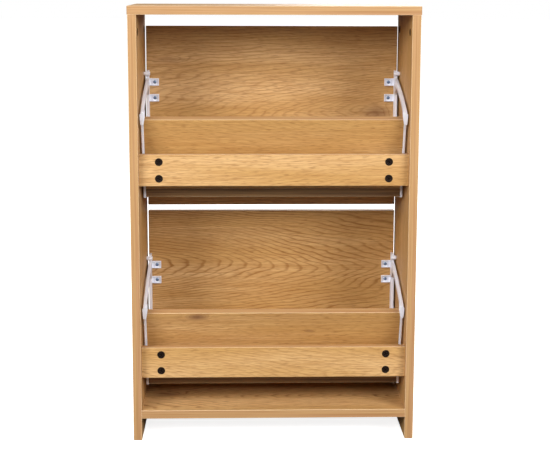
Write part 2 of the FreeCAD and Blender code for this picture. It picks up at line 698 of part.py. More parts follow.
def bin_board(tier, name, width, y, z, turn, spots):
    """Back board or shelf of a bin, between the brackets, bored in its ends for their screws."""
    half = BIN_X
    blank = board(f"{name}_{tier}", f"2 * {half}", width, "size.board", f"-{half}", f"{PIVOT_Y} + {y}",
                  f"{TIERS[tier]} + {z}", turn)
    bores = []
    for side, (toward, _) in ENDS.items():
        for spot, (spot_y, spot_z) in spots.items():
            bores.append(screw_bore(f"{name}_{tier}_{side}_{spot}", "size.board_screw_reach - size.plate",
                                    mirrored(SIDES[side], half), f"{PIVOT_Y} + {spot_y}",
                                    f"{TIERS[tier]} + {spot_z}", axes(REAR, -toward)))
    return node(cut(f"{name}_{tier}_cut", blank, bores), f"{tier}_{name}")


def bin_boards(tier):
    """Leaning back board that stands on the shelf's rear edge, and the shelf behind the door."""
    on_wall = {name: spot for name, spot in bin_screw_spots().items() if name.startswith("wall")}
    on_shelf = {name: spot for name, spot in bin_screw_spots().items() if name.startswith("shelf")}
    wall_height = f"((size.wall_top - {SHELF_TOP}) / cos({LEAN}))"
    bin_board(tier, "back_board", wall_height, WALL_FOOT_Y, SHELF_TOP,
              Rotation(RIGHT, -number("size.lean")).multiply(axes(RIGHT, -REAR)), on_wall)
    bin_board(tier, "shelf", f"{WALL_FOOT_Y} - {DOOR_Y}", DOOR_Y, "size.shelf_level", None, on_shelf)


def bin_screws(tier):
    """Screws through the tabs into the door, and through the plates into the boards' ends."""
    door_screws = []
    board_screws = []
    for side, (toward, _) in ENDS.items():
        sign = SIDES[side]
        for spot, level in tab_screws().items():
            door_screws.append(screw(f"door_screw_{tier}_{side}_{spot}",
                                     "(size.tab_floor + size.door_screw_reach)", tab_screw_x(sign),
                                     f"{PIVOT_Y} + {DOOR_Y} + size.tab_floor",
                                     f"{TIERS[tier]} + {level}", ALONG_Y))
        for spot, (y, z) in bin_screw_spots().items():
            board_screws.append(screw(f"board_screw_{tier}_{side}_{spot}", "size.board_screw_reach",
                                      mirrored(sign, PLATE_X), f"{PIVOT_Y} + {y}", f"{TIERS[tier]} + {z}",
                                      axes(REAR, toward)))
    node(group(f"door_screws_{tier}", door_screws), f"{tier}_door_screws")
    node(group(f"board_screws_{tier}", board_screws), f"{tier}_board_screws")


def tilting_bin(tier):
    door(tier)
    right = node(tilting_bracket(tier), f"{tier}_bracket_right")
    node(mirror_piece(f"bracket_{tier}_mirror", right), f"{tier}_bracket_left")
    bin_boards(tier)
    bin_screws(tier)


# ---------------------------------------------------------------- the whole cabinet
for side in SIDES:
    side_panel(side)
top_panel()
bottom_board()
panel_fasteners()
for tier in TIERS:
    rail(tier)
    studs_and_pegs(tier)
    tilting_bin(tier)

doc.recompute()
for obj in doc.Objects:
    if "Invalid" in obj.State or "Error" in obj.State:
        raise RuntimeError(f"{obj.Label} failed to build: {obj.State}")
for obj in nodes:
    if obj.Shape.isNull() or not obj.Shape.isValid() or not obj.Shape.Solids:
        raise RuntimeError(f"{obj.Label} has no sound shape")

os.makedirs("parts", exist_ok=True)
for obj in nodes:
    obj.Shape.exportStep(f"parts/{obj.Label}.step")
print(len(nodes), "sub-parts written")
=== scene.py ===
"""Shoe cabinet with two tilting bins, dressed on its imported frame: oak-decor panels with banded
edges, white moulded bin brackets, blackened cam locks and zinc-plated screws."""
import math
import random

import bmesh
import bpy
from mathutils import Matrix, Vector


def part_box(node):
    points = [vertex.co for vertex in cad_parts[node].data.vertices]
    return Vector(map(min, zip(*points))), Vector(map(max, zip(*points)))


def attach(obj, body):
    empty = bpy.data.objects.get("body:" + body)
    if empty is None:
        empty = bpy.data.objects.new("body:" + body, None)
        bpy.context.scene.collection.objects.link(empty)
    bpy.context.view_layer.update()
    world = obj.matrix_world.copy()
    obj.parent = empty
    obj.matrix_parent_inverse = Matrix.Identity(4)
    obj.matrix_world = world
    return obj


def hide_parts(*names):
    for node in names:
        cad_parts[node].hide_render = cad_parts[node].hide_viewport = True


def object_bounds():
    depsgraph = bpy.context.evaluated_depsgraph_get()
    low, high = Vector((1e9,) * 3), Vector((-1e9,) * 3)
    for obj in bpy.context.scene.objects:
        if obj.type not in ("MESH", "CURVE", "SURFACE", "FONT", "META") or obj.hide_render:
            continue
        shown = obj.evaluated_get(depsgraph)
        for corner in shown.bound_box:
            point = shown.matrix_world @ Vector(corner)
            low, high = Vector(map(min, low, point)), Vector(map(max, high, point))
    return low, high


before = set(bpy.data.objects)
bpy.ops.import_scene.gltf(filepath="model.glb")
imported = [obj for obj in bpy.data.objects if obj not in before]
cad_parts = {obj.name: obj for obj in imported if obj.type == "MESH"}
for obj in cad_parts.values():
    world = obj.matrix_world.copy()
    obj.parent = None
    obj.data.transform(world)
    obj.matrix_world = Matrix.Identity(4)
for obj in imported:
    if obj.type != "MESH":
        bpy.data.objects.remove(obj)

cad_low, cad_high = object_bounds()

# ---------------------------------------------------------------- camera
# Stands behind the cabinet at about the height of its top and looks slightly down on the open
# back, through a long lens that keeps the side panels nearly parallel.
camera_data = bpy.data.cameras.new("camera")
camera = bpy.data.objects.new("camera", camera_data)
bpy.context.collection.objects.link(camera)
camera.location = (0.0692, 2.6761, 0.9680)
aim = Vector((-0.0047, 0.0, 0.5330))
looking = (aim - camera.location).to_track_quat("-Z", "Y")
roll = Matrix.Rotation(math.radians(0.16), 3, "Z").to_quaternion()
camera.rotation_mode = "QUATERNION"
camera.rotation_quaternion = looking @ roll
camera_data.sensor_width = 36.0
camera_data.lens = 81.8
camera_data.shift_y = -0.0727
bpy.context.scene.camera = camera


# ---------------------------------------------------------------- studio
# Seamless white paper, one large soft box on each side of the camera, a weak light over the camera,
# and a soft light on the doors' side. The boxes stand so far aside that the side panels shade the
# ends of the doors.
millimetre = 0.001


def linear(hex_colour):
    """Linear RGBA of an sRGB hex colour."""
    channels = [int(hex_colour[i:i + 2], 16) / 255 for i in (1, 3, 5)]
    return [c / 12.92 if c <= 0.04045 else ((c + 0.055) / 1.055) ** 2.4 for c in channels] + [1.0]


def add_node(tree, kind, inputs=None, **settings):
    """Adds a node with its settings; each input takes a value, a socket or several sockets."""
    node = tree.nodes.new(kind)
    for key, value in settings.items():
        setattr(node, key, value)
    for key, value in (inputs or {}).items():
        sources = value if isinstance(value, (list, tuple)) else [value]
        if isinstance(sources[0], bpy.types.NodeSocket):
            for source in sources:
                tree.links.new(source, node.inputs[key])
        else:
            node.inputs[key].default_value = value
    return node


def laid_over(tree, under, over, mark, low, high, amount=1.0):
    """Colour with another laid over it, up to an amount, as a mark goes from low to high."""
    share = add_node(tree, "ShaderNodeMapRange",
                     {"Value": mark, "From Min": low, "From Max": high, "To Max": amount})
    return add_node(tree, "ShaderNodeMix", {0: share.outputs["Result"], 6: under, 7: over},
                    data_type="RGBA").outputs[2]


def new_material(name):
    """Empty material, with its node tree."""
    material = bpy.data.materials.new(name)
    material.use_nodes = True
    material.node_tree.nodes.clear()
    return material, material.node_tree


# Matt paper: even and shadowless but for the soft shadow where the cabinet stands. What the camera
# sees is white, and what lights the cabinet from below is grey, so that its undersides stay dark.
paper, tree = new_material("matt_white_paper")
where = add_node(tree, "ShaderNodeTexCoord")
fibres = add_node(tree, "ShaderNodeTexNoise",
                  {"Vector": where.outputs["Object"], "Scale": 1 / (25 * millimetre), "Detail": 4.0})
tone = add_node(tree, "ShaderNodeMix",
                {0: fibres.outputs["Fac"], 6: linear("#f2f2f2"), 7: linear("#f8f8f8")}, data_type="RGBA")
seen = add_node(tree, "ShaderNodeBsdfPrincipled",
                {"Base Color": tone.outputs[2], "Roughness": 0.9, "Specular IOR Level": 0.1,
                 "Emission Color": tone.outputs[2], "Emission Strength": 0.92})
thrown = add_node(tree, "ShaderNodeBsdfDiffuse", {"Color": linear("#716f6d")})
ray = add_node(tree, "ShaderNodeLightPath")
sheet = add_node(tree, "ShaderNodeMixShader",
                 {0: ray.outputs["Is Camera Ray"], 1: thrown.outputs[0], 2: seen.outputs[0]})
add_node(tree, "ShaderNodeOutputMaterial", {"Surface": sheet.outputs[0]})

FLOOR_REACH = 30.0
floor_mesh = bpy.data.meshes.new("floor")
bm = bmesh.new()
bmesh.ops.create_grid(bm, x_segments=2, y_segments=2, size=FLOOR_REACH)
bm.to_mesh(floor_mesh)
bm.free()
floor = bpy.data.objects.new("floor", floor_mesh)
bpy.context.collection.objects.link(floor)
floor.location.z = -0.5 * millimetre
floor_mesh.materials.append(paper)

# each light's place, its width and its power in watts; all look at the middle of the cabinet
middle = (cad_low + cad_high) / 2
SOFT_BOXES = {
    "soft_box_left": ((-2.05, 2.2, 1.88), 1.5, 87),
    "soft_box_right": ((2.05, 2.2, 1.88), 1.5, 87),
    "camera_light": ((0.2, 3.0, 1.8), 0.8, 19),
    "front_light": ((-1.0, -2.6, 2.2), 2.0, 60),
}
for name, (place, width, power) in SOFT_BOXES.items():
    data = bpy.data.lights.new(name, "AREA")
    data.shape = "SQUARE"
    data.size = width
    data.energy = power
    light = bpy.data.objects.new(name, data)
    bpy.context.collection.objects.link(light)
    light.location = place
    light.rotation_mode = "QUATERNION"
    light.rotation_quaternion = (middle - Vector(place)).to_track_quat("-Z", "Y")

world = bpy.data.worlds.new("white_surround")
bpy.context.scene.world = world
world.use_nodes = True
tree = world.node_tree
tree.nodes.clear()
# The surround is plain white behind the cabinet. It lights from above and hardly from the sides.
sky = add_node(tree, "ShaderNodeTexCoord")
height = add_node(tree, "ShaderNodeSeparateXYZ", {0: sky.outputs["Generated"]})
glow = add_node(tree, "ShaderNodeMapRange",
                {"Value": height.outputs["Z"], "From Max": 0.8, "To Min": 0.04, "To Max": 0.42})
ray = add_node(tree, "ShaderNodeLightPath")
strength = add_node(tree, "ShaderNodeMix",
                    {0: ray.outputs["Is Camera Ray"], 2: glow.outputs["Result"], 3: 1.0})
surround = add_node(tree, "ShaderNodeBackground",
                    {"Color": (1.0, 1.0, 1.0, 1.0), "Strength": strength.outputs[0]})
add_node(tree, "ShaderNodeOutputWorld", {"Surface": surround.outputs[0]})
bpy.context.scene.view_settings.view_transform = "Standard"

# ---------------------------------------------------------------- panels
# Side panels, top, bottom board, rails, doors, shelves and back boards: 18 mm chipboard faced with
# oak-decor melamine, the print's grain along each panel's length, and banded with a plainer,
# pinker strip, except for the shelves, whose sawn edges are kept dark as painted shade. Each panel keeps its
# frame mesh and shows another part of the print.
OAK_LIGHT = linear("#d9b07a")
OAK_MIDDLE = linear("#c69a5d")
OAK_LATE = linear("#8f5f2e")      # late wood of the rings
OAK_STREAK = linear("#ad7c45")
OAK_PORE = linear("#7c4d23")
KNOT = linear("#6d4430")
BAND_LIGHT = linear("#be9666")
BAND_DARK = linear("#a37648")
BAND_PINK = linear("#b38461")
# sawn chipboard of the shelves' edges, darkened as painted shade for the shadow under the rails
SHADED_RAW_LIGHT = linear("#8a6840")
SHADED_RAW_DARK = linear("#553a20")
SHADED_RAW_CHIP = linear("#6d4e30")
ARRIS_HIGHLIGHT = linear("#ffe9c4")         # painted highlight along the rounded corner between face and edge; the trimmed corner of the band is a little paler too
RING_WIDTH = 7.5 * millimetre     # across the grain, from ring to ring
RING_LENGTH = 31 * millimetre     # along the figure, from tip to tip
TIP_ROUND = 12 * millimetre
FIGURE_WIDTH = 95 * millimetre    # beyond this the rings run straight
SWAY = 60 * millimetre            # how far the figure's axis wanders along a panel
PRINTS_APART = 4 * millimetre     # depth after which the print is another one: two faces differ
PRINT_STEP = 100 * millimetre     # from one numbered print to the next
KNOT_REACH = 2.2                  # the rings bend round a knot this many times its size away

# name: length along the grain and width across it, of the print's marks; detail; roughness. Real
# fibres and pores are finer than 1 mm and would not show at this distance, so they are coarser here.
MARKS = {
    "sway": (500 * millimetre, 140 * millimetre, 1.0, 0.4),
    "wobble": (90 * millimetre, 18 * millimetre, 2.0, 0.5),
    "broad": (700 * millimetre, 60 * millimetre, 2.0, 0.5),
    "patch": (200 * millimetre, 36 * millimetre, 2.0, 0.5),
    "streak": (260 * millimetre, 4.5 * millimetre, 3.0, 0.6),
    "fibre": (60 * millimetre, 2.0 * millimetre, 3.0, 0.6),
    "dash": (18 * millimetre, 1.8 * millimetre, 1.0, 0.5),
}
RING_FORMULA = (
    ("aside", "SUBTRACT", ("across", "axis")),
    ("bent", "MULTIPLY_ADD", ("sway", SWAY, "aside")),
    ("squared", "MULTIPLY", ("bent", "bent")),
    ("rounded", "ADD", ("squared", TIP_ROUND ** 2)),
    ("distance", "SQRT", ("rounded",)),
    ("widening", "MULTIPLY_ADD", ("squared", FIGURE_WIDTH ** -2, 1.0)),
    ("ahead", "DIVIDE", ("along", "widening")),
    ("rings_across", "MULTIPLY", ("distance", 1 / RING_WIDTH)),
    ("rings_on", "MULTIPLY_ADD", ("ahead", "tips", "rings_across")),
    ("rings_wavy", "MULTIPLY_ADD", ("wobble", 0.5, "rings_on")),
    ("rings_uneven", "MULTIPLY_ADD", ("patch", 3.5, "rings_wavy")),
    ("rings", "MULTIPLY_ADD", ("knot", 4.0, "rings_uneven")),
    ("ring", "FRACT", ("rings",)),
)
# how dark one ring is on its way: pale early wood, then late wood that ends sharply
RING_ENDS = 0.15
RING_PROFILE = ((0.12, 0.0), (0.45, 0.05), (0.66, 0.35), (0.80, 1.0), (0.90, 0.9))
# the banding's broad stripes and fine lines: length, thickness and detail, then the mark's low and
# high strength and the amount of their colour
BAND_MARKS = (
    (420 * millimetre, 6 * millimetre, 2.0, 0.45, 0.65, 0.6),
    (140 * millimetre, 2.2 * millimetre, 3.0, 0.40, 0.72, 0.8),
)
# a panel's face is the broad one on this side
PRINT_SIDE = Vector((1.0, -2.0, 1.0))


def broad_face(mesh):
    """Unit normal of a panel's broad faces, on the print's side."""
    areas = {}
    for polygon in mesh.polygons:
        key = tuple(round(abs(c), 3) for c in polygon.normal)
        areas.setdefault(key, [0.0, polygon.normal.copy()])[0] += polygon.area
    face = max(areas.values(), key=lambda entry: entry[0])[1].normalized()
    return face if face.dot(PRINT_SIDE) > 0 else -face


def oak_decor(name, centre, turn, print_number, tone, axis, tips, figure, knots, edge):
    """Oak-decor melamine: satin print of rings, fibres and pores, and a finish for the cut edges.

    centre and turn place the panel's length on X, width on Y and thickness on Z. tone makes its
    part of the print darker; on the back boards this darkening is painted shade. axis is how far
    aside of the centre the pointed figure runs, tips which way it points and figure its strength.
    knots are places on the panel, each with a length, a width and a darkness. edge is a light
    colour, a dark one and one for broad stripes.
    """
    material, tree = new_material(name)
    source = add_node(tree, "ShaderNodeTexCoord")
    panel = add_node(tree, "ShaderNodeMapping", {"Vector": source.outputs["Object"], "Location": centre,
                                                 "Rotation": turn}, vector_type="TEXTURE").outputs[0]
    split = add_node(tree, "ShaderNodeSeparateXYZ", {0: panel})
    values = {"along": split.outputs["X"], "across": split.outputs["Y"], "knot": 0.0,
              "axis": axis + SWAY / 2, "tips": tips / RING_LENGTH}
    for mark, (length, width, detail, roughness) in MARKS.items():
        stretched = add_node(tree, "ShaderNodeMapping",
                             {"Vector": panel, "Location": (0.0, 0.0, print_number * PRINT_STEP),
                              "Scale": (length, width, PRINTS_APART)}, vector_type="TEXTURE")
        values[mark] = add_node(tree, "ShaderNodeTexNoise",
                                {"Vector": stretched.outputs[0], "Scale": 1.0, "Detail": detail,
                                 "Roughness": roughness}).outputs["Fac"]
    for x, y, length, width, darkness in knots:
        spot = add_node(tree, "ShaderNodeMapping",
                        {"Vector": panel, "Location": (x * millimetre, y * millimetre, 0.0),
                         "Scale": (length * millimetre, width * millimetre, 1.0)}, vector_type="TEXTURE")
        reach = add_node(tree, "ShaderNodeVectorMath", {0: spot.outputs[0]}, operation="LENGTH")
        nearness = add_node(tree, "ShaderNodeMapRange",
                            {"Value": reach.outputs["Value"], "From Min": KNOT_REACH, "From Max": 0.0,
                             "To Max": darkness}, interpolation_type="SMOOTHSTEP")
        values["knot"] = add_node(tree, "ShaderNodeMath", {0: nearness.outputs["Result"], 1: values["knot"]},
                                  operation="MAXIMUM").outputs[0]
    for result, operation, terms in RING_FORMULA:
        inputs = {index: values.get(term, term) for index, term in enumerate(terms)}
        values[result] = add_node(tree, "ShaderNodeMath", inputs, operation=operation).outputs[0]
    profile = add_node(tree, "ShaderNodeValToRGB", {0: values["ring"]})
    stops = profile.color_ramp.elements
    for end in stops:
        end.color = (RING_ENDS, RING_ENDS, RING_ENDS, 1.0)
    for position, grey in RING_PROFILE:
        stops.new(position).color = (grey, grey, grey, 1.0)
    late = add_node(tree, "ShaderNodeMath", {0: profile.outputs["Color"], 1: values["patch"]},
                    operation="MULTIPLY")
    values["late"] = add_node(tree, "ShaderNodeMath", {0: late.outputs[0], 1: values["fibre"]},
                              operation="MULTIPLY").outputs[0]

    # mark, its low and high strength, and the amount of the colour that it lays over the last one
    tints = [
        ("broad", 0.38 - tone, 0.62 - tone, 1.0, OAK_MIDDLE),
        ("streak", 0.46 - tone, 0.72 - tone, 0.55, OAK_STREAK),
        ("late", 0.04, 0.34, figure, OAK_LATE),
        ("fibre", 0.42, 0.64, 0.52, OAK_STREAK),
        ("dash", 0.54, 0.70, 0.42, OAK_PORE),
        ("knot", 0.10, 0.95, 0.80, KNOT),
    ]
    wood = OAK_LIGHT
    for mark, low, high, amount, colour in tints:
        wood = laid_over(tree, wood, colour, values[mark], low, high, amount)

    # banding: lines at 45 degrees to the length and the width run along all four edges alike
    band, band_dark, band_broad = edge
    for (length, thickness, detail, low, high, amount), over in zip(BAND_MARKS, (band_broad, band_dark)):
        slant = add_node(tree, "ShaderNodeMapping",
                         {"Vector": panel, "Rotation": (0.0, 0.0, math.radians(45)),
                          "Scale": (length, 1.0, thickness)}, vector_type="TEXTURE")
        mark = add_node(tree, "ShaderNodeTexNoise",
                        {"Vector": slant.outputs[0], "Scale": 1.0, "Detail": detail})
        band = laid_over(tree, band, over, mark.outputs["Fac"], low, high, amount)
    # edge, then the corner that slants between them, with a painted highlight along it, then face
    facing = add_node(tree, "ShaderNodeMapping", {"Vector": source.outputs["Normal"], "Rotation": turn},
                      vector_type="TEXTURE")
    thickness = add_node(tree, "ShaderNodeSeparateXYZ", {0: facing.outputs[0]})
    flat = add_node(tree, "ShaderNodeMath", {0: thickness.outputs["Z"]}, operation="ABSOLUTE")
    corner = laid_over(tree, band, ARRIS_HIGHLIGHT, flat.outputs[0], 0.30, 0.45)
    colour = laid_over(tree, corner, wood, flat.outputs[0], 0.70, 0.85)

    rough = add_node(tree, "ShaderNodeMapRange", {"Value": values["fibre"], "To Min": 0.36, "To Max": 0.52})
    relief = add_node(tree, "ShaderNodeBump", {"Height": values["fibre"], "Strength": 0.3,
                                               "Distance": 0.08 * millimetre})
    surface = add_node(tree, "ShaderNodeBsdfPrincipled",
                       {"Base Color": colour, "Roughness": rough.outputs["Result"],
                        "Normal": relief.outputs["Normal"], "IOR": 1.5, "Specular IOR Level": 0.35})
    add_node(tree, "ShaderNodeOutputMaterial", {"Surface": surface.outputs[0]})
    return material


def dress(node, material):
    """Gives a frame node its finish in every slot."""
    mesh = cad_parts[node].data
    if not mesh.materials:
        mesh.materials.append(material)
    for index in range(len(mesh.materials)):
        mesh.materials[index] = material


ALONG_X = Vector((1.0, 0.0, 0.0))
UPRIGHT = Vector((0.0, 0.0, 1.0))
# panel: grain's direction, number of the print and its tone (on the back boards a darkening that
# is painted shade), how far aside of the panel's middle the figure runs, which way its tips point,
# its strength, and knots, in mm from the middle
PANELS = {
    "side_panel_left": (UPRIGHT, 31, 0.03, 24, -1, 0.45, ()),
    "side_panel_right": (UPRIGHT, 47, 0.03, -36, 1, 0.45, ()),
    "top_panel": (ALONG_X, 12, 0.0, 0, 1, 0.5, ()),
    "bottom_board": (ALONG_X, 19, -0.07, 10, 1, 1.0, ((225, -5, 30, 12, 0.6),)),
    "rail_upper": (ALONG_X, 24, 0.0, -50, 1, 0.25, ()),
    "rail_lower": (ALONG_X, 29, -0.08, -36, -1, 0.38, ()),
    "upper_door": (ALONG_X, 53, 0.0, 8, 1, 0.58, ((-236, 8, 26, 13, 0.7), (225, 125, 30, 6, 0.4))),
    # this board's darker tone is painted shade
    "upper_back_board": (ALONG_X, 58, 0.06, 90, 1, 0.3, ()),
    "upper_shelf": (ALONG_X, 62, 0.0, 0, 1, 0.5, ()),
    "lower_door": (ALONG_X, 71, 0.06, 71, -1, 1.0, ()),
    # this board's darker tone is painted shade, darker than on the upper one
    "lower_back_board": (ALONG_X, 76, 0.12, -80, 1, 0.3, ((163, 70, 17, 6, 0.95), (-78, 34, 9, 3, 0.6))),
    "lower_shelf": (ALONG_X, 81, 0.0, 10, 1, 0.5, ()),
}
BANDED = (BAND_LIGHT, BAND_DARK, BAND_PINK)
RAW_WITH_PAINTED_SHADE = (SHADED_RAW_LIGHT, SHADED_RAW_DARK, SHADED_RAW_CHIP)      # the shelves' edges are sawn chipboard, kept dark as painted shade for the shadow under the rails
for node, (grain, print_number, tone, axis, tips, figure, knots) in PANELS.items():
    face = broad_face(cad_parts[node].data)
    low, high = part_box(node)
    turn = Matrix((grain, face.cross(grain), face)).transposed().to_euler()
    # the shelves get the dark sawn edge, which is partly painted shade
    edge = RAW_WITH_PAINTED_SHADE if node.endswith("shelf") else BANDED
    dress(node, oak_decor(f"oak_decor_{node}", (low + high) / 2, turn, print_number, tone,
                          axis * millimetre, tips, figure, knots, edge))


# ---------------------------------------------------------------- cam locks
# Die-cast zinc cams, blackened, turned home in their bores with a cross driver. A thin rim covers
# the bore's edge. They hold the rails, the top and the bottom board to the side panels.
turns = random.Random(7)        # how far each cam and screw was turned


def solids_of(node):
    """Boxes of a frame node's separate solids."""
    bm = bmesh.new()
    bm.from_mesh(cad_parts[node].data)
    bmesh.ops.remove_doubles(bm, verts=bm.verts, dist=0.001 * millimetre)
    left = set(bm.verts)
    boxes = []
    while left:
        reached = [left.pop()]
        for vertex in reached:
            for edge in vertex.link_edges:
                other = edge.other_vert(vertex)
                if other in left:
                    left.remove(other)
                    reached.append(other)
        corners = list(zip(*(vertex.co for vertex in reached)))
        boxes.append((Vector(min(c) for c in corners), Vector(max(c) for c in corners)))
    bm.free()
    return sorted(boxes, key=lambda box: tuple(box[0]))


def head_seats(node, facing, rise):
    """A node's fasteners, each by its head's seat, the way the head faces and its turn about it.

    The head rises from its seat. X in facing counts away from the cabinet's middle.
    """
    seats = []
    for low, high in solids_of(node):
        centre = (low + high) / 2
        way = Vector(facing)
        if way.x and centre.x < 0:
            way = -way
        half = (high - low).dot(Vector(abs(c) for c in way)) / 2
        seats.append((centre + way * (half - rise), way, turns.uniform(0, math.pi)))
    return seats


def seats_mesh(name, seats):
    """Points at the seats, with each head's facing and turn as attributes."""
    mesh = bpy.data.meshes.new(name)
    mesh.from_pydata([place for place, _, _ in seats], [], [])
    mesh.attributes.new("facing", "FLOAT_VECTOR", "POINT")
    mesh.attributes.new("turn", "FLOAT", "POINT")
    for index, (_, facing, turn) in enumerate(seats):
        mesh.attributes["facing"].data[index].vector = facing
        mesh.attributes["turn"].data[index].value = turn
    return mesh


def new_tree(name, sizes):
    """Geometry tree with named size inputs, its input node and the sockets' identifiers."""
    tree = bpy.data.node_groups.new(name, "GeometryNodeTree")
    tree.interface.new_socket("Geometry", in_out="INPUT", socket_type="NodeSocketGeometry")
    tree.interface.new_socket("Geometry", in_out="OUTPUT", socket_type="NodeSocketGeometry")
    sockets = {}
    for size in sizes:
        socket = tree.interface.new_socket(size, in_out="INPUT", socket_type="NodeSocketFloat")
        sockets[size] = socket.identifier
    return tree, add_node(tree, "NodeGroupInput").outputs, sockets


def cylinder(tree, bottom, top, height, level, segments=32):
    """Straight or tapered round block that stands at a level."""
    block = add_node(tree, "GeometryNodeMeshCone", {"Vertices": segments, "Radius Bottom": bottom,
                                                    "Radius Top": top, "Depth": height})
    lift = add_node(tree, "ShaderNodeCombineXYZ", {"Z": level})
    return add_node(tree, "GeometryNodeTransform", {"Geometry": block.outputs["Mesh"],
                                                    "Translation": lift.outputs[0]}).outputs[0]


def cross_recess(tree, length, width, floor_level, height):
    """Two crossed blocks, from the recess's floor upwards, to be cut out of a head.

    One goes a touch deeper, so that the floors of the two cuts don't lie in one plane.
    """
    blocks = []
    middle_level = add_node(tree, "ShaderNodeMath", {0: height, 1: 0.5, 2: floor_level},
                            operation="MULTIPLY_ADD")
    for x_side, y_side, deeper in ((length, width, 0.0), (width, length, 0.1 * millimetre)):
        level = add_node(tree, "ShaderNodeMath", {0: middle_level.outputs[0], 1: deeper},
                         operation="SUBTRACT")
        lift = add_node(tree, "ShaderNodeCombineXYZ", {"Z": level.outputs[0]})
        size = add_node(tree, "ShaderNodeCombineXYZ", {"X": x_side, "Y": y_side, "Z": height})
        block = add_node(tree, "GeometryNodeMeshCube", {"Size": size.outputs[0]})
        blocks.append(add_node(tree, "GeometryNodeTransform", {"Geometry": block.outputs["Mesh"],
                                                               "Translation": lift.outputs[0]}).outputs[0])
    return blocks


CRISP_CORNER = 25       # degrees: gentler corners are shaded smooth


def set_on_seats(tree, seats, shape, material):
    """Ends a tree: the shape on every seat, turned its way, with crisp corners and its material."""
    facing = add_node(tree, "GeometryNodeInputNamedAttribute", {"Name": "facing"}, data_type="FLOAT_VECTOR")
    turn = add_node(tree, "GeometryNodeInputNamedAttribute", {"Name": "turn"}, data_type="FLOAT")
    about = add_node(tree, "ShaderNodeCombineXYZ", {"Z": turn.outputs["Attribute"]})
    aligned = add_node(tree, "FunctionNodeAlignRotationToVector", {"Vector": facing.outputs["Attribute"]},
                       axis="Z")
    spun = add_node(tree, "FunctionNodeEulerToRotation", {"Euler": about.outputs[0]})
    rotation = add_node(tree, "FunctionNodeRotateRotation", {"Rotation": aligned.outputs[0],
                                                             "Rotate By": spun.outputs[0]},
                        rotation_space="LOCAL")
    placed = add_node(tree, "GeometryNodeInstanceOnPoints", {"Points": seats, "Instance": shape,
                                                             "Rotation": rotation.outputs[0]})
    real = add_node(tree, "GeometryNodeRealizeInstances", {"Geometry": placed.outputs["Instances"]})
    angle = add_node(tree, "GeometryNodeInputMeshEdgeAngle")
    gentle = add_node(tree, "ShaderNodeMath",
                      {0: angle.outputs["Unsigned Angle"], 1: math.radians(CRISP_CORNER)},
                      operation="LESS_THAN")
    smooth = add_node(tree, "GeometryNodeSetShadeSmooth", {"Geometry": real.outputs[0],
                                                           "Shade Smooth": gentle.outputs[0]}, domain="EDGE")
    finished = add_node(tree, "GeometryNodeSetMaterial", {"Geometry": smooth.outputs[0],
                                                          "Material": material})
    add_node(tree, "NodeGroupOutput", {"Geometry": finished.outputs[0]})


def grown(name, mesh, tree, sockets, sizes):
    """Plain mesh object from a geometry tree on a mesh, with the tree's sizes set."""
    seed = bpy.data.objects.new(name, mesh)
    bpy.context.collection.objects.link(seed)
    modifier = seed.modifiers.new("nodes", "NODES")
    modifier.node_group = tree
    for size, value in sizes.items():
        modifier[sockets[size]] = value
    graph = bpy.context.evaluated_depsgraph_get()
    result = bpy.data.meshes.new_from_object(seed.evaluated_get(graph))
    seed.modifiers.remove(modifier)
    seed.data = result
    while result.materials[0] is None:
        result.materials.pop(index=0)
    return seed


# Blackened zinc: dull brown-black, with a faint sheen where the light falls flat on it.
black_zinc, tree = new_material("blackened_zinc")
source = add_node(tree, "ShaderNodeTexCoord")
casting = add_node(tree, "ShaderNodeTexNoise", {"Vector": source.outputs["Object"],
                                                "Scale": 1 / (1.1 * millimetre), "Detail": 3.0})
colour = add_node(tree, "ShaderNodeMix", {0: casting.outputs["Fac"], 6: linear("#120a06"),
                                          7: linear("#291a11")}, data_type="RGBA")
rough = add_node(tree, "ShaderNodeMapRange", {"Value": casting.outputs["Fac"], "To Min": 0.35, "To Max": 0.6})
relief = add_node(tree, "ShaderNodeBump", {"Height": casting.outputs["Fac"], "Strength": 0.3,
                                           "Distance": 0.05 * millimetre})
surface = add_node(tree, "ShaderNodeBsdfPrincipled", {"Base Color": colour.outputs[2], "Metallic": 0.2,
                                                      "Roughness": rough.outputs["Result"],
                                                      "Specular IOR Level": 0.2,
                                                      "Normal": relief.outputs["Normal"]})
add_node(tree, "ShaderNodeOutputMaterial", {"Surface": surface.outputs[0]})

# in mm; the levels count from the board's face, and the dish and the slot are cut from above the rim
CAM_SIZES = {"Radius": 7.5, "Depth": 13.0, "Rim radius": 8.25, "Rim height": 0.6, "Dish floor radius": 5.0,
             "Dish radius": 6.4, "Dish floor level": 0.3, "Dish height": 0.4, "Slot length": 8.4,
             "Slot width": 1.7, "Slot depth": 2.4}
CAM_SIDES = 40
OVERLAP = 0.1 * millimetre      # the cam's body reaches this far into its rim
ABOVE_RIM = 1.0 * millimetre
tree, given, sockets = new_tree("cam_lock", CAM_SIZES)
below = add_node(tree, "ShaderNodeMath", {0: given["Depth"], 1: -1.0}, operation="MULTIPLY")
body_height = add_node(tree, "ShaderNodeMath", {0: given["Depth"], 1: OVERLAP}, operation="ADD")
body = cylinder(tree, given["Radius"], given["Radius"], body_height.outputs[0], below.outputs[0], CAM_SIDES)
rim = cylinder(tree, given["Rim radius"], given["Radius"], given["Rim height"], 0.0, CAM_SIDES)
blank = add_node(tree, "GeometryNodeMeshBoolean", {"Mesh 2": [body, rim]}, operation="UNION")
dish = cylinder(tree, given["Dish floor radius"], given["Dish radius"], given["Dish height"],
                given["Dish floor level"], CAM_SIDES)
slot_floor = add_node(tree, "ShaderNodeMath", {0: given["Slot depth"], 1: -1.0}, operation="MULTIPLY")
slot_height = add_node(tree, "ShaderNodeMath", {0: given["Slot depth"], 1: ABOVE_RIM}, operation="ADD")
slots = cross_recess(tree, given["Slot length"], given["Slot width"], slot_floor.outputs[0],
                     slot_height.outputs[0])
